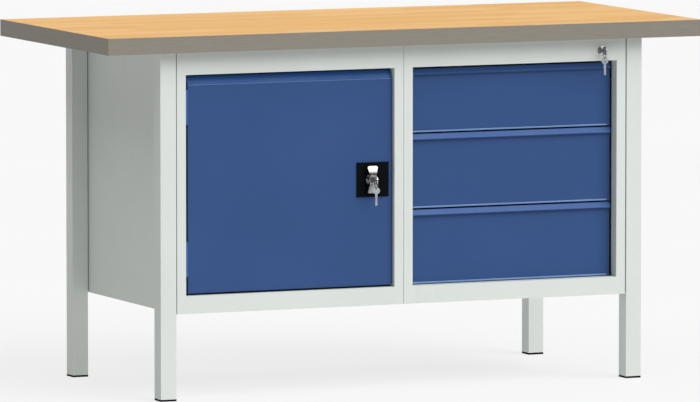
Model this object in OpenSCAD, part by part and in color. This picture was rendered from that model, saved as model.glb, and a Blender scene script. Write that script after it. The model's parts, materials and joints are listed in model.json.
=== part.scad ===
// Workbench with a cupboard on the left and a three-drawer unit on the right.
// Origin: centre of the footprint, on the floor. +X right, +Y back, +Z up.

/* [Bench] */
// Worktop length
bench_w = 1500; // [1300:10:2000]
// Worktop depth
bench_d = 670; // [600:5:800]
// Height of the worktop surface above the floor
bench_h = 840; // [780:5:950]
// Worktop thickness
top_t = 38.5; // [30:0.5:50]
// Front edge of the worktop ahead of the legs
front_over = 32; // [10:1:80]
// Rear edge of the worktop behind the legs
rear_over = 60; // [10:1:120]

/* [Legs] */
// Outside of one leg to outside of the other
legs_w = 1218; // [1150:1:1400]
// Square tube size
leg_w = 38.5; // [30:0.5:50]
// Tube wall
leg_t = 2; // [1.5:0.5:3]
// Foot cap thickness under the tube
foot_h = 4.5; // [3:0.5:12]

/* [Carcass] */
// Underside of the cabinets above the floor
cab_z = 199.5; // [150:0.5:300]
// Width over both cabinets
cab_w = 1136; // [1080:1:1180]
// Depth of the cabinets
cab_d = 565; // [480:1:600]
// Sheet thickness
sheet = 1.5; // [1:0.1:2]
// Depth of the front frame profile
frame_d = 28; // [20:1:40]
// Height of the bottom rail
rail_bottom = 41; // [30:0.5:60]
// Height of the top rail
rail_top = 53; // [40:0.5:80]
// Clear width of each front opening
open_w = 522.5; // [480:0.5:540]

/* [Door] */
// Depth of the door front behind the frame
door_recess = 10; // [2:1:20]
// Gap on the hinge side
door_gap_hinge = 9; // [6:0.5:14]
// Gap on the lock side
door_gap_lock = 3; // [2:0.5:6]
// Gap above and below the door
door_gap_z = 4.6; // [2:0.2:8]
// Depth of the folded door
door_d = 20; // [14:1:24]
// Length of one hinge barrel
hinge_len = 80; // [50:2:120]
// Size of the square lock plate
plate_w = 80; // [60:1:100]

/* [Drawers] */
// Depth of the drawer fronts behind the frame
drawer_recess = 26; // [10:1:40]
// Gap at each side of a drawer front
drawer_gap = 6; // [2:0.5:8]
// Gap between drawer fronts
front_gap = 3.7; // [2:0.2:6]
// Height of the top drawer front
front_h_top = 147.5; // [100:0.5:180]
// Height of the middle and bottom drawer fronts
front_h_low = 172.5; // [120:0.5:220]
// Depth of a folded drawer front
front_d = 20; // [14:1:24]
// Length of the drawer runners, which is also the travel of a drawer
rail_len = 450; // [350:10:500]

/* [Folds] */
// Height of the pull edge along the top of each drawer front
band_h = 13; // [8:1:20]
// Height of the slanted band along the top of the door
door_band_h = 20; // [10:1:30]
// How far the band of the door leans back
band_lean = 9; // [4:1:14]
// How far the pull edge of a drawer stands out
pull_out = 7; // [3:0.5:12]

/* [Hidden] */

steel = [0.86, 0.87, 0.85];
blue = [0.16, 0.25, 0.47];
beech = [0.86, 0.66, 0.44];
black = [0.06, 0.06, 0.06];
chrome = [0.75, 0.75, 0.76];
zinc = [0.6, 0.61, 0.62];

y_front = -bench_d / 2;
under = bench_h - top_t;
leg_yf = y_front + front_over;
leg_yr = bench_d / 2 - rear_over;
leg_x = legs_w / 2;
cab_yf = leg_yf + 1;
cab_yb = cab_yf + cab_d;
ring_yb = cab_yf + frame_d;
cab_x = cab_w / 2;
mid = 0.5;
cup_cx = -284.5;
drw_cx = 284;
open_z0 = cab_z + rail_bottom;
open_z1 = under - rail_top;
seam = 0.1;

// door outline
door_x0 = cup_cx - open_w / 2 + door_gap_hinge;
door_x1 = cup_cx + open_w / 2 - door_gap_lock;
door_z0 = open_z0 + door_gap_z;
door_z1 = open_z1 - door_gap_z;
door_yf = cab_yf + door_recess;
door_yb = door_yf + door_d;

// hinges
hinge_x = cup_cx - open_w / 2 + door_gap_hinge / 2;
hinge_y = door_yf - 1;
hinge_r = 4;
pin_r = 2;
run_gap = 0.05;
hinge_zs = [open_z0 + 43.5, open_z1 - 35 - hinge_len];

// lock on the door
lock_x = -80.5;
lock_z = 492;
plate_x = -75;
plate_z = 491;
rose_r = 14;
plate_t = 3;
plate_yf = door_yf - plate_t;
rose_t = 4;
grip_t = 12;
grip_yb = plate_yf - 0.2 - rose_t;
grip_yf = grip_yb - grip_t;
grip_h = 63;
grip_end = 26;
grip_waist = 16;
grip_bend = 6;
cyl_r = 7;
spindle_r = 5;
cam_y = door_yb + 2;
bow_r = 9.5;
bow_t = 2;
key_reach = 3.7;

// lock on the drawer unit
dlock_x = 506;
dlock_z = 773;
dlock_yf = cab_yf - 1.5;

// drawers, bottom to top
front_x0 = drw_cx - open_w / 2 + drawer_gap;
front_x1 = drw_cx + open_w / 2 - drawer_gap;
front_yf = cab_yf + drawer_recess;
front_yb = front_yf + front_d;
zb = open_z0 + 2;
zm = zb + front_h_low + front_gap;
zt = zm + front_h_low + front_gap;
rail_u = 12.7;
rail_h = 46;
rail_y0 = front_yb + 2;
tray_x0 = drw_cx - open_w / 2 + rail_u;
tray_x1 = drw_cx + open_w / 2 - rail_u;
tray_y1 = front_yb + 462;
tray_t = 1.2;

module box(x0, x1, y0, y1, z0, z1) {
  translate([x0, y0, z0]) cube([x1 - x0, y1 - y0, z1 - z0]);
}

module rod_x(x0, x1, y, z, r) {
  translate([x0, y, z]) rotate([0, 90, 0]) cylinder(h = x1 - x0, r = r, $fn = 64);
}

module rod_y(x, y0, y1, z, r) {
  translate([x, y0, z]) rotate([-90, 0, 0]) cylinder(h = y1 - y0, r = r, $fn = 64);
}

module rod_z(x, y, z0, z1, r) {
  translate([x, y, z0]) cylinder(h = z1 - z0, r = r, $fn = 64);
}

// square tube standing along Z
module tube_z(x0, x1, y0, y1, z0, z1, t) {
  difference() {
    box(x0, x1, y0, y1, z0, z1);
    box(x0 + t, x1 - t, y0 + t, y1 - t, z0 - 1, z1 + 1);
  }
}

// rectangular tube lying along X
module tube_x(x0, x1, y0, y1, z0, z1, t) {
  difference() {
    box(x0, x1, y0, y1, z0, z1);
    box(x0 - 1, x1 + 1, y0 + t, y1 - t, z0 + t, z1 - t);
  }
}

// profile drawn in Y and Z, run along X
module along_x(x0, x1, pts) {
  translate([x0, 0, 0]) rotate([90, 0, 90]) linear_extrude(x1 - x0) polygon(pts);
}

bolt_zs = [262, 700];
bolt_front_y = leg_yf + leg_w / 2;
bolt_rear_y = leg_yr - leg_w + 13;

module bolt_holes() {
  for (sx = [-1, 1])
    for (z = bolt_zs)
      for (y = [bolt_front_y, bolt_rear_y])
        rod_x(sx * (leg_x - leg_w - 1) - 8, sx * (leg_x - leg_w - 1) + 8, y, z, 4.1);
}

screw_xs = [-500, -283, -60, 60, 283, 500];
screw_ys = [ring_yb + 15, cab_yb - 17];

module screw_holes(r) {
  for (x = screw_xs)
    for (y = screw_ys)
      rod_z(x, y, under - 10, under + 25, r);
}

module worktop() {
  color(beech) difference() {
    box(-bench_w / 2, bench_w / 2, y_front, bench_d / 2, under, bench_h);
    for (x = screw_xs)
      for (y = screw_ys)
        rod_z(x, y, under - 1, under + 25, 2.5);
  }
}

module leg(x0, y0) {
  color(steel) difference() {
    tube_z(x0, x0 + leg_w, y0, y0 + leg_w, foot_h, under, leg_t);
    bolt_holes();
  }
}

module leg_front_left() {
  leg(-leg_x, leg_yf);
}

module leg_front_right() {
  leg(leg_x - leg_w, leg_yf);
}

module leg_rear_left() {
  leg(-leg_x, leg_yr - leg_w);
}

module leg_rear_right() {
  leg(leg_x - leg_w, leg_yr - leg_w);
}

// plug of each cap sits inside the tube
module foot_caps() {
  color(black) for (x = [-leg_x, leg_x - leg_w])
    for (y = [leg_yf, leg_yr - leg_w]) {
      box(x, x + leg_w, y, y + leg_w, 0, foot_h);
      box(x + leg_t + seam, x + leg_w - leg_t - seam, y + leg_t + seam, y + leg_w - leg_t - seam,
        foot_h - 1, foot_h + 14);
    }
}

module stiles(x0, x1, cx) {
  difference() {
    union() {
      tube_z(x0, cx - open_w / 2, cab_yf, ring_yb, cab_z, under, sheet);
      tube_z(cx + open_w / 2, x1, cab_yf, ring_yb, cab_z, under, sheet);
    }
    bolt_holes();
  }
}

module rails(cx) {
  tube_x(cx - open_w / 2, cx + open_w / 2, cab_yf, ring_yb, cab_z, open_z0, sheet);
  tube_x(cx - open_w / 2, cx + open_w / 2, cab_yf, ring_yb, open_z1, under, sheet);
}

module cupboard_stiles() {
  color(steel) stiles(-cab_x, -mid, cup_cx);
}

module cupboard_rails() {
  color(steel) rails(cup_cx);
}

module drawer_unit_stiles() {
  color(steel) stiles(mid, cab_x, drw_cx);
}

module drawer_unit_rails() {
  color(steel) difference() {
    rails(drw_cx);
    rod_y(dlock_x, cab_yf - 5, ring_yb + 5, dlock_z, 10.05);
  }
}

// sheet side wall with bolt holes
module side_wall(x0) {
  color(steel) difference() {
    box(x0, x0 + sheet, ring_yb, cab_yb, cab_z, under);
    bolt_holes();
    join_holes();
  }
}

join_ys = [-100, 120];
join_z = 500;

module join_holes() {
  for (y = join_ys)
    rod_x(-3, 3, y, join_z, 3.1);
}

module cupboard_side_left() {
  side_wall(-cab_x);
}

module cupboard_side_right() {
  side_wall(-mid - sheet);
}

module drawer_unit_side_left() {
  side_wall(mid);
}

module drawer_unit_side_right() {
  side_wall(cab_x - sheet);
}

module back_wall(x0, x1) {
  color(steel) box(x0 + sheet, x1 - sheet, cab_yb - sheet, cab_yb, cab_z, under);
}

module floor_sheet(x0, x1) {
  color(steel) box(x0 + sheet, x1 - sheet, ring_yb, cab_yb - sheet, cab_z, cab_z + sheet);
}

module top_flanges(x0, x1) {
  color(steel) difference() {
    union() {
      box(x0 + sheet, x1 - sheet, ring_yb, ring_yb + 30, under - sheet, under);
      box(x0 + sheet, x1 - sheet, cab_yb - sheet - 30, cab_yb - sheet, under - sheet, under);
    }
    screw_holes(2.6);
  }
}

module cupboard_back() {
  back_wall(-cab_x, -mid);
}

module cupboard_bottom() {
  floor_sheet(-cab_x, -mid);
}

module cupboard_top_flanges() {
  top_flanges(-cab_x, -mid);
}

module drawer_unit_back() {
  back_wall(mid, cab_x);
}

module drawer_unit_bottom() {
  floor_sheet(mid, cab_x);
}

module drawer_unit_top_flanges() {
  top_flanges(mid, cab_x);
}

shelf_z = 490;
shelf_x0 = -cab_x + sheet + 2;
shelf_x1 = -mid - sheet - 2;
shelf_y0 = ring_yb + 60;
shelf_y1 = cab_yb - sheet - 3;

// flat shelf with folded front and rear edges
module cupboard_shelf() {
  color(steel) {
    box(shelf_x0, shelf_x1, shelf_y0, shelf_y1, shelf_z - sheet, shelf_z);
    box(shelf_x0, shelf_x1, shelf_y0, shelf_y0 + sheet, shelf_z - 20, shelf_z - 1);
    box(shelf_x0, shelf_x1, shelf_y1 - sheet, shelf_y1, shelf_z - 20, shelf_z - 1);
  }
}

module shelf_clips() {
  color(zinc) for (y = [shelf_y0 + 40, shelf_y1 - 55])
    for (x = [-cab_x + sheet, -mid - sheet - 12])
      box(x, x + 12, y, y + 15, shelf_z - sheet - 8, shelf_z - sheet);
}

// uprights that bring the runners in line with the opening
module rail_posts() {
  color(zinc) for (y = [rail_y0, rail_y0 + rail_len - 30]) {
    box(mid + sheet, drw_cx - open_w / 2, y, y + 30, cab_z + sheet, zt + 110);
    box(drw_cx + open_w / 2, cab_x - sheet, y, y + 30, cab_z + sheet, zt + 110);
  }
}

module worktop_screws() {
  color(zinc) for (x = screw_xs)
    for (y = screw_ys) {
      rod_z(x, y, under - sheet - 3, under - sheet, 5);
      rod_z(x, y, under - sheet - 1, under + 22, 2.4);
    }
}

// head inside the cabinet, spacer in the gap, nut inside the leg
module leg_bolts() {
  color(zinc) for (s = [0, 1])
    mirror([s, 0, 0])
      for (z = bolt_zs)
        for (y = [bolt_front_y, bolt_rear_y]) {
          rod_x(-leg_x + leg_w - leg_t - 6, -leg_x + leg_w - leg_t, y, z, 7);
          rod_x(-leg_x + leg_w - leg_t - 4, -cab_x + sheet + 2, y, z, 4);
          rod_x(-leg_x + leg_w, -cab_x, y, z, 9);
          rod_x(-cab_x + sheet, -cab_x + sheet + 4, y, z, 7);
        }
}

module joining_bolts() {
  color(zinc) for (y = join_ys) {
    rod_x(-mid - sheet - 4, -mid - sheet, y, join_z, 6);
    rod_x(-mid - sheet - 1, mid + sheet + 1, y, join_z, 3);
    rod_x(-mid, mid, y, join_z, 7);
    rod_x(mid + sheet, mid + sheet + 5, y, join_z, 6);
  }
}

// runner sections, u counted from the wall towards the drawer
module section_outer(y0, z, s) {
  section(0, 1.2, y0, z, rail_h, s);
  section_flanges(0, 10, y0, z, rail_h, s);
}

module section_middle(y0, z, s) {
  section(5.2, 6.4, y0, z, rail_h - 3, s);
  section_flanges(2, 10.2, y0, z, rail_h - 3, s);
}

module section_inner(y0, z, s) {
  section(rail_u - 1.2, rail_u, y0, z, rail_h - 6, s);
  section_flanges(7, rail_u, y0, z, rail_h - 6, s);
}

module section(u0, u1, y0, z, h, s) {
  x = drw_cx + s * open_w / 2;
  box(min(x - s * u0, x - s * u1), max(x - s * u0, x - s * u1), y0, y0 + rail_len, z - h / 2, z + h / 2);
}

module section_flanges(u0, u1, y0, z, h, s) {
  x = drw_cx + s * open_w / 2;
  xa = min(x - s * u0, x - s * u1);
  xb = max(x - s * u0, x - s * u1);
  box(xa, xb, y0, y0 + rail_len, z + h / 2 - 1.2, z + h / 2);
  box(xa, xb, y0, y0 + rail_len, z - h / 2, z - h / 2 + 1.2);
}

module rails_outer(z) {
  color(zinc) for (s = [-1, 1])
    section_outer(rail_y0, z + 60, s);
}

module rails_mid(z) {
  color(chrome) for (s = [-1, 1])
    section_middle(rail_y0, z + 60, s);
}

module rails_in(z) {
  color(chrome) for (s = [-1, 1])
    section_inner(rail_y0, z + 60, s);
}

module rails_outer_top() {
  rails_outer(zt);
}

module rails_outer_middle() {
  rails_outer(zm);
}

module rails_outer_bottom() {
  rails_outer(zb);
}

module rails_middle_top() {
  rails_mid(zt);
}

module rails_middle_middle() {
  rails_mid(zm);
}

module rails_middle_bottom() {
  rails_mid(zb);
}

module rails_inner_top() {
  rails_in(zt);
}

module rails_inner_middle() {
  rails_in(zm);
}

module rails_inner_bottom() {
  rails_in(zb);
}

// folded steel front, open at the back, with a band that may lean back along its top
module folded_front(x0, x1, yf, d, z0, z1, band, lean) {
  t = sheet;
  difference() {
    along_x(x0, x1, [[yf, z0], [yf, z1 - band], [yf + lean, z1], [yf + d, z1], [yf + d, z0]]);
    along_x(x0 + t, x1 - t, [[yf + t, z0 + t], [yf + t, z1 - band - 0.4],
      [yf + max(t, lean + 0.8), z1 - t], [yf + d + 1, z1 - t], [yf + d + 1, z0 + t]]);
  }
}

// folded pull edge: slopes out and down from the top of a drawer front, open below for the fingers
module pull_edge(x0, x1, yf, z1) {
  t = sheet;
  yo = yf - pull_out;
  zo = z1 - band_h;
  along_x(x0, x1, [[yf + 0.5, z1], [yo, zo + 1], [yo, zo - 0.5], [yo + t, zo - 0.5],
    [yo + t, zo + 1.2], [yf + 0.5, z1 - 2]]);
}

module drawer_front(z0, h) {
  color(blue) {
    folded_front(front_x0, front_x1, front_yf, front_d, z0, z0 + h, band_h, 0);
    pull_edge(front_x0, front_x1, front_yf, z0 + h);
    along_x(front_x0, front_x1, [[front_yf + 0.5, z0], [front_yf - 1.5, z0], [front_yf - 1.5, z0 + 2.5],
      [front_yf + 0.5, z0 + 4]]);
  }
}

// sheets of a tray, seamed at the corners
module drawer_tray(z0, h) {
  y0 = front_yb + seam;
  za = z0 + 6;
  t = tray_t;
  color(steel) {
    box(tray_x0, tray_x0 + t, y0, tray_y1, za, za + h);
    box(tray_x1 - t, tray_x1, y0, tray_y1, za, za + h);
    box(tray_x0 + t + seam, tray_x1 - t - seam, y0, tray_y1, za, za + t);
    box(tray_x0 + t + seam, tray_x1 - t - seam, tray_y1 - t, tray_y1, za + t + seam, za + h);
    box(tray_x0 + t + seam, tray_x1 - t - seam, y0, y0 + t, za + t + seam, za + h);
  }
}

tray_h_top = 112;
tray_h_low = 138;

module drawer_front_top() {
  drawer_front(zt, front_h_top);
}

module drawer_front_middle() {
  drawer_front(zm, front_h_low);
}

module drawer_front_bottom() {
  drawer_front(zb, front_h_low);
}

module drawer_tray_top() {
  drawer_tray(zt, tray_h_top);
}

module drawer_tray_middle() {
  drawer_tray(zm, tray_h_low);
}

module drawer_tray_bottom() {
  drawer_tray(zb, tray_h_low);
}

// lower half of each barrel is fixed to the stile
module hinge_leaves_fixed() {
  color(blue) for (z = hinge_zs)
    difference() {
      union() {
        rod_z(hinge_x, hinge_y, z, z + hinge_len / 2, hinge_r);
        box(cup_cx - open_w / 2, hinge_x - hinge_r + 1.5, hinge_y, hinge_y + 15, z, z + hinge_len / 2);
      }
      rod_z(hinge_x, hinge_y, z - 1, z + hinge_len / 2 + 1, pin_r);
    }
}

module hinge_pins() {
  color(zinc) for (z = hinge_zs)
    rod_z(hinge_x, hinge_y, z, z + hinge_len - 2, pin_r);
}

// upper half of each barrel is fixed to the door edge
module hinge_leaves_door() {
  color(blue) for (z = hinge_zs)
    difference() {
      union() {
        rod_z(hinge_x, hinge_y, z + hinge_len / 2 + 0.2, z + hinge_len, hinge_r);
        box(door_x0 - 1.5, door_x0, hinge_y, hinge_y + 15, z + hinge_len / 2 + 0.2, z + hinge_len);
      }
      rod_z(hinge_x, hinge_y, z + hinge_len / 2 - 1, z + hinge_len - 2 + 0.5, pin_r + run_gap);
    }
}

module door_panel() {
  color(blue) difference() {
    folded_front(door_x0, door_x1, door_yf, door_d, door_z0, door_z1, door_band_h, band_lean);
    rod_y(lock_x, door_yf - 1, door_yf + sheet + 1, lock_z, 20);
  }
}

// flat-topped channel welded inside the door
module door_stiffener() {
  color(steel) difference() {
    box(-430, -390, door_yf + sheet, door_yf + sheet + 12, door_z0 + 30, door_z1 - 30);
    box(-430 + sheet, -390 - sheet, door_yf, door_yf + 12, door_z0 + 29, door_z1 - 29);
  }
}

module handle_plate() {
  color(black) difference() {
    union() {
      box(plate_x - plate_w / 2, plate_x + plate_w / 2, plate_yf, door_yf, plate_z - plate_w / 2,
        plate_z + plate_w / 2);
      rod_y(lock_x, door_yf - 1, door_yb - 4, lock_z, 19);
    }
    rod_y(lock_x, plate_yf - 1, door_yb + 1, lock_z, spindle_r + run_gap);
  }
}

function waist(a) = grip_waist / 2 + (grip_end - grip_waist) / 2 * a * a;
grip_steps = 10;
grip_right = [for (i = [-grip_steps : grip_steps])
  [waist(i / grip_steps), i / grip_steps * (grip_h / 2 - 3)]];
grip_left = [for (i = [-grip_steps : grip_steps])
  [-waist(i / grip_steps), -i / grip_steps * (grip_h / 2 - 3)]];
grip_top = [[grip_end / 2 - 4, grip_h / 2], [-grip_end / 2 + 4, grip_h / 2]];
grip_bottom = [[-grip_end / 2 + 4, -grip_h / 2], [grip_end / 2 - 4, -grip_h / 2]];

// side view of the grip: its front bulges, so both ends fall back towards the plate
grip_side = concat([for (i = [-grip_steps : grip_steps])
  [grip_yf + grip_bend * (i / grip_steps) * (i / grip_steps), i / grip_steps * (grip_h / 2 + 1)]],
  [[grip_yb, grip_h / 2 + 1], [grip_yb, -grip_h / 2 - 1]]);

module grip() {
  intersection() {
    translate([lock_x, grip_yb + 1, lock_z]) rotate([90, 0, 0])
      linear_extrude(grip_t + 2) polygon(concat(grip_right, grip_top, grip_left, grip_bottom));
    translate([0, 0, lock_z]) along_x(lock_x - grip_end, lock_x + grip_end, grip_side);
  }
}

// waisted grip on a round rose, turning on a spindle
module door_handle() {
  color(chrome) difference() {
    union() {
      grip();
      rod_y(lock_x, grip_yf, plate_yf - 0.2, lock_z, 11);
      rod_y(lock_x, grip_yb - 1, plate_yf - 0.2, lock_z, rose_r);
      rod_y(lock_x, grip_yb, cam_y, lock_z, spindle_r);
      rod_y(lock_x, cam_y - 1, cam_y + 5, lock_z, 2.9);
    }
    rod_y(lock_x, grip_yf - 1, grip_yf + 9, lock_z, cyl_r + run_gap);
  }
}

cam_len = 64;

// released when the grip stands upright
module latch_cam() {
  color(zinc) difference() {
    union() {
      rod_y(lock_x, cam_y, cam_y + 3, lock_z, 11);
      box(lock_x - 8, lock_x + 8, cam_y, cam_y + 3, lock_z, lock_z + cam_len);
    }
    rod_y(lock_x, cam_y - 1, cam_y + 4, lock_z, 3);
  }
}

module cylinder_with_slot(x, y0, y1, z, slot_y) {
  difference() {
    rod_y(x, y0, y1, z, cyl_r);
    box(x - bow_t / 2 - 0.1, x + bow_t / 2 + 0.1, y0 - 1, slot_y, z - 4.1, z + 4.1);
  }
}

// key standing in its slot, round bow with a hole
module key_in(x, yf, z) {
  bow_y = yf - key_reach - bow_r;
  difference() {
    union() {
      rod_x(x - bow_t / 2, x + bow_t / 2, bow_y, z, bow_r);
      box(x - bow_t / 2, x + bow_t / 2, bow_y + bow_r - 1.5, yf + 6, z - 4, z + 4);
    }
    rod_x(x - bow_t, x + bow_t, bow_y - 2, z, 3);
  }
}

ring_r = 9;
ring_tube = 0.9;

// split ring seen as one wire loop
module key_ring() {
  translate([0, 0, -ring_r]) rotate([90, 0, 0])
    rotate_extrude($fn = 64) translate([ring_r, 0]) circle(r = ring_tube, $fn = 24);
}

spare_r = 8.5;
spare_hole_z = -2 * ring_r - 1.4;

module spare_key() {
  difference() {
    union() {
      rod_x(-1, 1, 0, spare_hole_z - 4.5, spare_r);
      box(-1, 1, -2.5, 2.5, spare_hole_z - 39, spare_hole_z - 11);
    }
    rod_x(-2, 2, 0, spare_hole_z, 2.5);
    for (i = [0 : 2])
      box(-2, 2, 1.5, 3, spare_hole_z - 36 + i * 6, spare_hole_z - 33.5 + i * 6);
  }
}

door_cyl_yf = grip_yf - 1;
door_ring_y = door_cyl_yf - key_reach - bow_r - 2;
draw_cyl_yf = dlock_yf - 1;
draw_ring_y = draw_cyl_yf - key_reach - bow_r - 2;

module door_lock_cylinder() {
  color(chrome) cylinder_with_slot(lock_x, door_cyl_yf, grip_yf + 8.5, lock_z, door_cyl_yf + 7);
}

module door_key() {
  color(chrome) key_in(lock_x, door_cyl_yf, lock_z);
}

module door_key_ring() {
  color(zinc) translate([lock_x, door_ring_y, lock_z]) rotate([0, 0, 45]) key_ring();
}

module door_spare_key() {
  color(zinc) translate([lock_x, door_ring_y, lock_z]) rotate([0, 0, 45]) spare_key();
}

module drawer_lock_housing() {
  color(chrome) difference() {
    union() {
      rod_y(dlock_x, dlock_yf, cab_yf, dlock_z, 11);
      rod_y(dlock_x, cab_yf - 1, ring_yb + 2, dlock_z, 10);
    }
    rod_y(dlock_x, dlock_yf - 1, ring_yb + 3, dlock_z, cyl_r + run_gap);
  }
}

// cylinder with a locking finger behind the top drawer front, pointing sideways when released
module drawer_lock_cylinder() {
  color(chrome) {
    cylinder_with_slot(dlock_x, draw_cyl_yf, front_yb + 1, dlock_z, draw_cyl_yf + 7);
    rod_y(dlock_x, front_yb + 1, front_yb + 4, dlock_z, cyl_r);
    box(dlock_x - 5, dlock_x + 34, front_yb + 1, front_yb + 4, dlock_z - 5, dlock_z + 5);
  }
}

module drawer_key() {
  color(chrome) key_in(dlock_x, draw_cyl_yf, dlock_z);
}

module drawer_key_ring() {
  color(zinc) translate([dlock_x, draw_ring_y, dlock_z]) rotate([0, 0, 45]) key_ring();
}

worktop();
leg_front_left();
leg_front_right();
leg_rear_left();
leg_rear_right();
foot_caps();
cupboard_stiles();
cupboard_rails();
cupboard_side_left();
cupboard_side_right();
cupboard_back();
cupboard_bottom();
cupboard_top_flanges();
cupboard_shelf();
shelf_clips();
drawer_unit_stiles();
drawer_unit_rails();
drawer_unit_side_left();
drawer_unit_side_right();
drawer_unit_back();
drawer_unit_bottom();
drawer_unit_top_flanges();
rail_posts();
worktop_screws();
leg_bolts();
joining_bolts();
rails_outer_top();
rails_outer_middle();
rails_outer_bottom();
hinge_leaves_fixed();
hinge_pins();
drawer_lock_housing();
door_panel();
door_stiffener();
hinge_leaves_door();
handle_plate();
door_handle();
latch_cam();
door_lock_cylinder();
door_key();
door_key_ring();
door_spare_key();
drawer_lock_cylinder();
drawer_key();
drawer_key_ring();
drawer_front_top();
drawer_front_middle();
drawer_front_bottom();
drawer_tray_top();
drawer_tray_middle();
drawer_tray_bottom();
rails_inner_top();
rails_inner_middle();
rails_inner_bottom();
rails_middle_top();
rails_middle_middle();
rails_middle_bottom();
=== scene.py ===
import json
import math

import bmesh
import bpy
from mathutils import Matrix, Vector


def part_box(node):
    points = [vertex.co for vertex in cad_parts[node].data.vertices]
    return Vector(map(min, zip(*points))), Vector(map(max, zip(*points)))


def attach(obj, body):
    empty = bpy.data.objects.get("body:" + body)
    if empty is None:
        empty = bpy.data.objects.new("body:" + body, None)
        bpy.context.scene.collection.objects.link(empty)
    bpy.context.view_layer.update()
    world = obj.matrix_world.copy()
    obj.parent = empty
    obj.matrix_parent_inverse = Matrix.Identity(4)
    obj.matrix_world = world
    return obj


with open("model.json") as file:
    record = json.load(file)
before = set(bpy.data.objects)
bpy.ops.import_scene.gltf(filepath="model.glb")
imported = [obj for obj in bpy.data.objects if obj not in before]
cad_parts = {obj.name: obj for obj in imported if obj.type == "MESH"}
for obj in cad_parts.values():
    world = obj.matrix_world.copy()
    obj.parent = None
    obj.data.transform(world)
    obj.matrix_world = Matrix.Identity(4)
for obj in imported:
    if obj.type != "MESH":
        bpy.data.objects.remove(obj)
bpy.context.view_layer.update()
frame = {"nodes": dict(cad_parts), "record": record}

nodes = frame["nodes"]

# ---------------------------------------------------------------- camera
YAW = 23.78  # degrees to the left of the front
PITCH = 5.376  # degrees down
SENSOR_MM = 36
LENS_MM = 441.977
CAMERA_PLACE = (-8.0954, -18.366, 2.3018)

cam_data = bpy.data.cameras.new("camera")
cam_data.sensor_width = SENSOR_MM
cam_data.lens = LENS_MM
cam_data.clip_start = 0.1
cam_data.clip_end = 400
cam = bpy.data.objects.new("camera", cam_data)
cam.location = CAMERA_PLACE
cam.rotation_euler = (math.radians(90 - PITCH), 0, math.radians(-YAW))
bpy.context.collection.objects.link(cam)
bpy.context.scene.camera = cam
bpy.context.scene.view_settings.view_transform = "Standard"

# ---------------------------------------------------------------- light
SKY_STRENGTH = 0.08  # what lights the bench
BACKDROP_STRENGTH = 0.95  # what the camera sees past the floor


def sun(name, azimuth, elevation, strength, angle):
    """A soft sun. The azimuth is counted in degrees from the front towards the right."""
    data = bpy.data.lights.new(name, "SUN")
    data.energy = strength
    data.angle = math.radians(angle)
    obj = bpy.data.objects.new(name, data)
    obj.rotation_euler = (math.radians(90 - elevation), 0, math.radians(azimuth))
    bpy.context.collection.objects.link(obj)


def studio_world():
    """A dim sky for the light and a pale backdrop for the camera."""
    world = bpy.data.worlds.new("studio")
    bpy.context.scene.world = world
    world.use_nodes = True
    tree = world.node_tree
    sky = tree.nodes["Background"]
    backdrop = tree.nodes.new("ShaderNodeBackground")
    for background, strength in ((sky, SKY_STRENGTH), (backdrop, BACKDROP_STRENGTH)):
        background.inputs["Color"].default_value = (1, 1, 1, 1)
        background.inputs["Strength"].default_value = strength
    seen = tree.nodes.new("ShaderNodeLightPath")
    either = tree.nodes.new("ShaderNodeMixShader")
    tree.links.new(seen.outputs["Is Camera Ray"], either.inputs[0])
    tree.links.new(sky.outputs[0], either.inputs[1])
    tree.links.new(backdrop.outputs[0], either.inputs[2])
    tree.links.new(either.outputs[0], tree.nodes["World Output"].inputs["Surface"])


sun("key", azimuth=32, elevation=40, strength=2.15, angle=50)
sun("top", azimuth=20, elevation=82, strength=2.5, angle=100)
studio_world()


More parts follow.
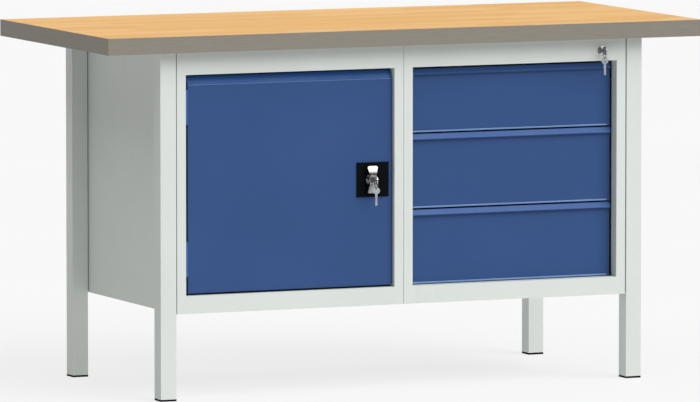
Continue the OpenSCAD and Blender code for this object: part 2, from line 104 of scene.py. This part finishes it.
# ---------------------------------------------------------------- material helpers
class Mat:
    """A material's node tree with short helpers."""

    def __init__(self, name, colour, rough, metal=0.0, **sockets):
        self.mat = bpy.data.materials.new(name)
        self.mat.use_nodes = True
        self.tree = self.mat.node_tree
        self.bsdf = self.tree.nodes["Principled BSDF"]
        self.set("Base Color", (*colour, 1))
        self.set("Roughness", rough)
        self.set("Metallic", metal)
        for key, value in sockets.items():
            self.set(key.replace("_", " "), value)
        self.coord = self.node("ShaderNodeTexCoord").outputs["Object"]

    def set(self, socket, value):
        self.bsdf.inputs[socket].default_value = value

    def node(self, kind, **values):
        made = self.tree.nodes.new(kind)
        for key, value in values.items():
            setattr(made, key, value)
        return made

    def link(self, a, b):
        self.tree.links.new(a, b)

    def feed(self, socket, value):
        """Gives a socket a number, a colour or the output of another node."""
        if isinstance(value, (int, float)):
            socket.default_value = value
        elif isinstance(value, tuple):
            socket.default_value = (*value, 1)
        else:
            self.link(value, socket)

    def parts(self, vector):
        made = self.node("ShaderNodeSeparateXYZ")
        self.link(vector, made.inputs[0])
        return made.outputs

    def scaled(self, scale, source=None):
        made = self.node("ShaderNodeMapping")
        made.inputs["Scale"].default_value = scale
        self.link(source or self.coord, made.inputs["Vector"])
        return made.outputs["Vector"]

    def noise(self, scale, detail=3.0, stretch=(1, 1, 1), rough=0.5, source=None, distort=0.0):
        made = self.node("ShaderNodeTexNoise")
        made.inputs["Scale"].default_value = scale
        made.inputs["Detail"].default_value = detail
        made.inputs["Roughness"].default_value = rough
        made.inputs["Distortion"].default_value = distort
        self.link(self.scaled(stretch, source), made.inputs["Vector"])
        return made.outputs["Fac"]

    def ramp(self, source, stops):
        made = self.node("ShaderNodeValToRGB")
        ramp = made.color_ramp
        while len(ramp.elements) < len(stops):
            ramp.elements.new(0.5)
        for element, (place, colour) in zip(ramp.elements, stops):
            element.position = place
            element.color = (*colour, 1)
        self.link(source, made.inputs["Fac"])
        return made.outputs["Color"]

    def spread(self, noise, low, high):
        """Stretches the middle of a noise over the range from low to high."""
        made = self.node("ShaderNodeMapRange")
        made.inputs["From Min"].default_value = 0.3
        made.inputs["From Max"].default_value = 0.7
        made.inputs["To Min"].default_value = low
        made.inputs["To Max"].default_value = high
        self.link(noise, made.inputs["Value"])
        return made.outputs["Result"]

    def math(self, how, *values):
        made = self.node("ShaderNodeMath", operation=how)
        for socket, value in zip(made.inputs, values):
            self.feed(socket, value)
        return made.outputs["Value"]

    def mix(self, fac, a, b):
        made = self.node("ShaderNodeMix", data_type="RGBA")
        for index, value in ((0, fac), (6, a), (7, b)):
            self.feed(made.inputs[index], value)
        return made.outputs[2]

    def out(self, socket, source):
        self.link(source, self.bsdf.inputs[socket])

    def bump(self, height, strength, distance, under=None):
        made = self.node("ShaderNodeBump")
        made.inputs["Strength"].default_value = strength
        made.inputs["Distance"].default_value = distance
        self.link(height, made.inputs["Height"])
        if under:
            self.link(under, made.inputs["Normal"])
        return made.outputs["Normal"]

    def facing_up(self):
        """The upward part of the face's own direction, from -1 to 1."""
        return self.parts(self.node("ShaderNodeNewGeometry").outputs["True Normal"])["Z"]


def shade(colour, k):
    return tuple(min(1.0, c * k) for c in colour)


def grey(value):
    return (value, value, value)


# ---------------------------------------------------------------- materials
PEEL_SCALE, PEEL_DEPTH = 650.0, 0.0004
BRUSH_DEPTH = 0.0002


def powder_coat(name, colour, rough, vary, peel, dust, gloss, tilt_light_and_shade=None):
    """Powder-coated steel: orange peel, faint tone changes, rubbed patches and small scuffs.

    The colour given for faces that lean back is painted light and shade: lighter on the drawers' pull
    edges, darker on the door's band."""
    m = Mat(name, colour, rough, Specular_IOR_Level=gloss)
    broad = m.noise(3.1, 4.0)
    tone = m.ramp(broad, [(0.3, shade(colour, 1 - vary)), (0.7, shade(colour, 1 + vary))])
    speck = m.noise(420.0, 2.0)
    tone = m.mix(m.spread(speck, 0.0, 0.10), tone, shade(colour, 0.8))
    smear = m.noise(9.0, 5.0, (1, 1, 0.25), 0.65)
    worn = m.ramp(smear, [(0.60, grey(0)), (0.80, grey(0.10))])
    tone = m.mix(worn, tone, dust)
    # painted light and shade: faces that lean back take the given colour instead of the coat's own
    if tilt_light_and_shade:
        up = m.facing_up()
        painted_tilt_mask = m.math("MULTIPLY", m.math("GREATER_THAN", up, 0.2), m.math("LESS_THAN", up, 0.9))
        tone = m.mix(painted_tilt_mask, tone, tilt_light_and_shade)
    m.out("Base Color", tone)
    m.out("Roughness", m.spread(m.noise(14.0, 5.0), rough - 0.06, rough + 0.08))
    m.out("Normal", m.bump(m.noise(PEEL_SCALE, 2.0), peel, PEEL_DEPTH))
    return m.mat


def plated(name, colour, rough, vary=0.08, brush=(1, 1, 1), scale=180.0, bump=0.06):
    """Plated or bright steel with fine brushing and dulled patches."""
    m = Mat(name, colour, rough, 1.0)
    line = m.noise(scale, 3.0, brush)
    m.out("Base Color", m.ramp(m.noise(24.0, 4.0), [(0.3, shade(colour, 1 - vary)), (0.7, colour)]))
    m.out("Roughness", m.spread(line, rough * 0.7, rough * 1.4))
    m.out("Normal", m.bump(line, bump, BRUSH_DEPTH))
    return m.mat


BOARD_TONE = (0.8, 0.55, 0.3)
STAVE_WIDTH, STAVE_LENGTH = 0.042, 0.48
STAVE_SHIFT = 7.0  # most lengths by which a row of staves is moved along
STAVE_TONES = [(0.0, (0.78, 0.455, 0.178)), (0.5, (0.83, 0.505, 0.210)), (1.0, (0.86, 0.56, 0.255))]
GRAIN_TONE, FLECK_TONE = (0.60, 0.31, 0.10), (0.46, 0.23, 0.08)
VENEER_TONES = [(0.0, (0.224, 0.203, 0.170)), (1.0, (0.254, 0.234, 0.197))]
VENEER_STREAK = (0.165, 0.148, 0.122)
# painted shade: darker grey tones for the worktop's underside
UNDERSIDE_SHADE_TONES = [(0.3, (0.16, 0.155, 0.145)), (0.7, (0.20, 0.19, 0.175))]
GRAIN_DEPTH = 0.0004


def beech_face(m):
    """Staves laid along X, each with its own tone and grain; gives the colour and the grain."""
    x, y, _ = m.parts(m.coord)
    row = m.math("FLOOR", m.math("DIVIDE", y, STAVE_WIDTH))
    shift = m.node("ShaderNodeTexWhiteNoise", noise_dimensions="1D")
    m.link(row, shift.inputs["W"])
    moved_by = m.math("MULTIPLY", shift.outputs["Value"], STAVE_SHIFT)
    along = m.math("ADD", m.math("DIVIDE", x, STAVE_LENGTH), moved_by)
    cell = m.node("ShaderNodeCombineXYZ")
    m.link(m.math("FLOOR", along), cell.inputs["X"])
    m.link(row, cell.inputs["Y"])
    pick = m.node("ShaderNodeTexWhiteNoise", noise_dimensions="3D")
    m.link(cell.outputs[0], pick.inputs["Vector"])
    stave = m.ramp(pick.outputs["Value"], STAVE_TONES)
    moved = m.node("ShaderNodeVectorMath", operation="ADD")
    m.link(m.coord, moved.inputs[0])
    m.link(pick.outputs["Color"], moved.inputs[1])
    grain = m.noise(9.0, 6.0, (1.2, 22, 22), 0.62, moved.outputs[0], 0.6)
    face = m.mix(m.spread(grain, 0.0, 0.34), stave, GRAIN_TONE)
    fleck = m.noise(60.0, 2.0, (0.9, 9, 9), 0.5, moved.outputs[0])
    flecked = m.ramp(fleck, [(0.62, grey(0)), (0.72, grey(0.35))])
    return m.mix(flecked, face, FLECK_TONE), grain


def veneer_edge(m):
    """Stacked veneer layers with streaks along them; gives the colour and the streaks."""
    layer = m.node("ShaderNodeTexWave", wave_type="BANDS", bands_direction="Z")
    layer.inputs["Scale"].default_value = 62.0
    layer.inputs["Distortion"].default_value = 0.8
    layer.inputs["Detail"].default_value = 2.0
    m.link(m.scaled((0.05, 0.05, 1)), layer.inputs["Vector"])
    edge = m.ramp(layer.outputs["Fac"], VENEER_TONES)
    streak = m.noise(7.0, 6.0, (3.0, 3.0, 60), 0.7, None, 0.4)
    return m.mix(m.spread(streak, 0.0, 0.5), edge, VENEER_STREAK), streak


def beech_board(name):
    """Laminated beech: staves on top, stacked veneer on the edges, and a darker grey underside painted as
    shade.
    """
    m = Mat(name, BOARD_TONE, 0.5, Specular_IOR_Level=0.25)
    face, grain = beech_face(m)
    edge, streak = veneer_edge(m)
    # painted shade: faces that point down take darker grey tones instead of the wood's
    underside_shade = m.ramp(streak, UNDERSIDE_SHADE_TONES)
    up = m.facing_up()
    flat = m.math("GREATER_THAN", m.math("ABSOLUTE", up), 0.6)
    below = m.math("LESS_THAN", up, -0.6)
    m.out("Base Color", m.mix(below, m.mix(flat, edge, face), underside_shade))
    m.out("Roughness", m.spread(grain, 0.36, 0.52))
    m.out("Normal", m.bump(grain, 0.12, GRAIN_DEPTH, m.bump(streak, 0.15, GRAIN_DEPTH)))
    return m.mat


GREY = (0.61, 0.645, 0.615)
BLUE = (0.029, 0.072, 0.202)
BLUE_DUST = (0.06, 0.13, 0.32)


def blue_coat(name, tilt_light_and_shade=None):
    return powder_coat(name, BLUE, 0.42, 0.05, 0.10, BLUE_DUST, 0.16, tilt_light_and_shade)


# one look for each material of the record
looks = {
    "beech": beech_board("beech board"),
    "grey_paint": powder_coat("grey coat", GREY, 0.48, 0.025, 0.12, (0.35, 0.34, 0.32), 0.14),
    "blue_paint": blue_coat("blue coat"),
    "black_paint": powder_coat("black coat", (0.003, 0.004, 0.005), 0.55, 0.2, 0.08, grey(0.007), 0.03),
    "black_plastic": powder_coat("black cap", (0.004, 0.004, 0.005), 0.6, 0.15, 0.2,
                                 (0.012, 0.012, 0.011), 0.04),
    "chrome": plated("bright plate", (0.66, 0.66, 0.67), 0.16),
    "zinc": plated("zinc plate", (0.50, 0.51, 0.53), 0.32, 0.12, (1, 1, 6)),
}

# looks of single nodes and of the small added pieces
# painted light and shade: copies of the blue coat, the drawers' with lighter pull edges, the door's with
# a darker band
drawer_blue_lit_edges = blue_coat("blue coat of the drawers", shade(BLUE, 1.35))
door_blue_shaded_band = blue_coat("blue coat of the door with painted shade on the band", (0.012, 0.066, 0.225))
# painted light: the hinges take a lighter copy of the blue coat
hinge_blue_painted_light = powder_coat("blue coat of the hinges lightened as painted light", shade(BLUE, 1.45), 0.36, 0.06, 0.10,
                         (0.10, 0.18, 0.36), 0.2)
# painted highlights: lighter blues for the strips along the drawer hems and the door's crease
hem_highlight = powder_coat("painted highlight along the hem", (0.14, 0.235, 0.43), 0.4, 0.1, 0.05, (0.26, 0.33, 0.46), 0.25)
crease_highlight = powder_coat("painted highlight along the crease", (0.10, 0.165, 0.32), 0.4, 0.1, 0.05, (0.2, 0.26, 0.38), 0.25)
nickel = plated("handle nickel", (0.36, 0.35, 0.35), 0.16, 0.12)
key_steel = plated("key steel", (0.58, 0.63, 0.68), 0.26, 0.25, (1, 1, 5), 260.0, 0.1)
lock_steel = plated("lock steel", (0.20, 0.20, 0.21), 0.30, 0.25, (1, 1, 5), 260.0, 0.1)

own_look = {
    "door_panel": door_blue_shaded_band,
    "drawer_front_top": drawer_blue_lit_edges,
    "drawer_front_middle": drawer_blue_lit_edges,
    "drawer_front_bottom": drawer_blue_lit_edges,
    "hinge_leaves_door": hinge_blue_painted_light,
    "hinge_leaves_fixed": hinge_blue_painted_light,
    "door_handle": nickel,
    "door_spare_key": key_steel,
    "drawer_key": lock_steel,
    "door_key_ring": lock_steel,
    "drawer_key_ring": lock_steel,
    "door_lock_cylinder": lock_steel,
}

# width in mm of the rounded edges, by how a node's name starts
BEVELS = {
    "worktop": 1.0,
    "leg": 0.9,
    "cupboard_stiles": 0.7,
    "cupboard_rails": 0.4,
    "drawer_unit_stiles": 0.7,
    "drawer_unit_rails": 0.4,
    "door_panel": 0.6,
    "drawer_front": 0.6,
    "handle_plate": 0.8,
    "door_handle": 0.7,
    "foot_caps": 0.6,
}
BEVEL_FROM = 40  # degrees; edges that turn less stay as they are


def soften(obj, width_mm):
    bevel = obj.modifiers.new("edge", "BEVEL")
    bevel.width = width_mm / 1000
    bevel.segments = 2
    bevel.limit_method = "ANGLE"
    bevel.angle_limit = math.radians(BEVEL_FROM)


material_of = {part["node"]: part["material_slot"] for part in frame["record"]["subparts"]}
for name, obj in nodes.items():
    obj.data.materials.clear()
    obj.data.materials.append(own_look.get(name, looks[material_of[name]]))
    width = next((w for start, w in BEVELS.items() if name.startswith(start)), 0)
    if width:
        soften(obj, width)


# ---------------------------------------------------------------- pieces too fine for the solids
def piece(name, form, look, body):
    """Turns a bmesh into an object that rides on a body."""
    bmesh.ops.recalc_face_normals(form, faces=form.faces)
    mesh = bpy.data.meshes.new(name)
    form.to_mesh(mesh)
    form.free()
    mesh.materials.append(look)
    obj = bpy.data.objects.new(name, mesh)
    bpy.context.collection.objects.link(obj)
    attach(obj, body)


def loop_of(form, x, outline, place):
    return [form.verts.new(place @ Vector((x, y, z))) for y, z in outline]


def wall(form, a, b):
    """Faces between two loops with as many points."""
    for i in range(len(a)):
        j = (i + 1) % len(a)
        form.faces.new((a[i], a[j], b[j], b[i]))


def prism(name, outline, across, place, look, body, slot):
    """A flat plate: outline in local Y and Z, across either side of X, moved by a matrix."""
    form = bmesh.new()
    near, far = [loop_of(form, x, outline, place) for x in across]
    form.faces.new(near[::-1])
    form.faces.new(far)
    wall(form, near, far)
    piece(name, form, look, body)


def washer(name, centre_z, inner, outer, across, place, look, body, slot, turns=32):
    """A flat ring in local Y and Z: the bow of a key."""
    form = bmesh.new()
    angles = [2 * math.pi * i / turns for i in range(turns)]
    loops = []
    for x, r in ((across[0], inner), (across[0], outer), (across[1], outer), (across[1], inner)):
        circle = [(r * math.cos(t), centre_z + r * math.sin(t)) for t in angles]
        loops.append(loop_of(form, x, circle, place))
    for k, ring in enumerate(loops):
        wall(form, ring, loops[(k + 1) % len(loops)])
    piece(name, form, look, body)


UPRIGHT = Matrix()
SINK = 0.0003  # how far the added pieces reach into the sheet

# the hem along the foot of each drawer front, where a lighter strip is painted on as the highlight along
# it
PULL_OUT = 0.007
HEM_OUT, HEM_LOW, HEM_FLAT, HEM_TOP = 0.0018, 0.0002, 0.0022, 0.0038
HEM_LEFT, HEM_RIGHT = 0.004, 0.008
for key in ("top", "middle", "bottom"):
    low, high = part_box("drawer_front_" + key)
    face = low.y + PULL_OUT
    hem = [
        (face - HEM_OUT, low.z + HEM_LOW),
        (face - HEM_OUT, low.z + HEM_FLAT),
        (face - SINK, low.z + HEM_TOP),
        (face + SINK, low.z + HEM_TOP),
        (face + SINK, low.z + HEM_LOW),
    ]
    across = (low.x + HEM_LEFT, high.x - HEM_RIGHT)
    prism("hem_" + key, hem, across, UPRIGHT, hem_highlight, "drawer_" + key, "blue_paint")

# the crease under the band of the door, where a lighter strip is painted on as the highlight along it
DOOR_BAND = 0.020
CREASE_INSET, CREASE_LOW, CREASE_FLAT, CREASE_TOP, CREASE_DEEP = 0.002, 0.0006, 0.0004, 0.0012, 0.0010
low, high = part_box("door_panel")
fold = high.z - DOOR_BAND
crease = [
    (low.y - SINK, fold - CREASE_LOW),
    (low.y - SINK, fold + CREASE_FLAT),
    (low.y + CREASE_DEEP, fold + CREASE_TOP),
    (low.y + CREASE_DEEP, fold - CREASE_LOW),
]
across = (low.x + CREASE_INSET, high.x - CREASE_INSET)
prism("door_crease", crease, across, UPRIGHT, crease_highlight, "door", "blue_paint")

# spare key on the drawer unit's ring, in the plane of the ring
low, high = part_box("drawer_key_ring")
ring_top = Vector(((low.x + high.x) / 2, (low.y + high.y) / 2, high.z))
hang = Matrix.Translation(ring_top) @ Matrix.Rotation(math.radians(45), 4, "Z")
KEY_EYE = -0.0193  # below the ring's top
KEY_SIDES = (-0.001, 0.001)
BOW_CENTRE, BOW_HOLE, BOW_RADIUS = KEY_EYE - 0.0045, 0.0028, 0.0085
# outline of the blade in mm: sideways, and down from the eye; a nose, three teeth and the shoulder
BLADE_MM = [(-2.5, 12.0), (-2.5, 37.0), (-1.0, 39.0), (0.8, 37.0), (2.5, 34.5), (1.2, 32.5),
            (2.5, 30.5), (1.2, 28.5), (2.5, 26.5), (1.4, 24.0), (2.5, 21.5), (2.5, 12.0)]
blade = [(side / 1000, KEY_EYE - down / 1000) for side, down in BLADE_MM]
spare = (hang, key_steel, "drawer_key_ring_hanging", "chrome")
washer("drawer_spare_bow", BOW_CENTRE, BOW_HOLE, BOW_RADIUS, KEY_SIDES, *spare)
prism("drawer_spare_blade", blade, KEY_SIDES, *spare)

# ---------------------------------------------------------------- floor
FLOOR_SIZE = 240
FLOOR_DROP = 0.0005  # just below the feet
FLOOR_GLOW = 0.74
bpy.ops.mesh.primitive_plane_add(size=FLOOR_SIZE, location=(0, 0, -FLOOR_DROP))
floor = bpy.context.object
floor.name = "floor"
m = Mat("floor", grey(0.15), 0.8, Specular_IOR_Level=0.1, Emission_Strength=FLOOR_GLOW)
m.set("Emission Color", (1, 1, 1, 1))
m.out("Base Color", m.ramp(m.noise(0.8, 3.0), [(0.3, grey(0.146)), (0.7, grey(0.154))]))
floor.data.materials.append(m.mat)
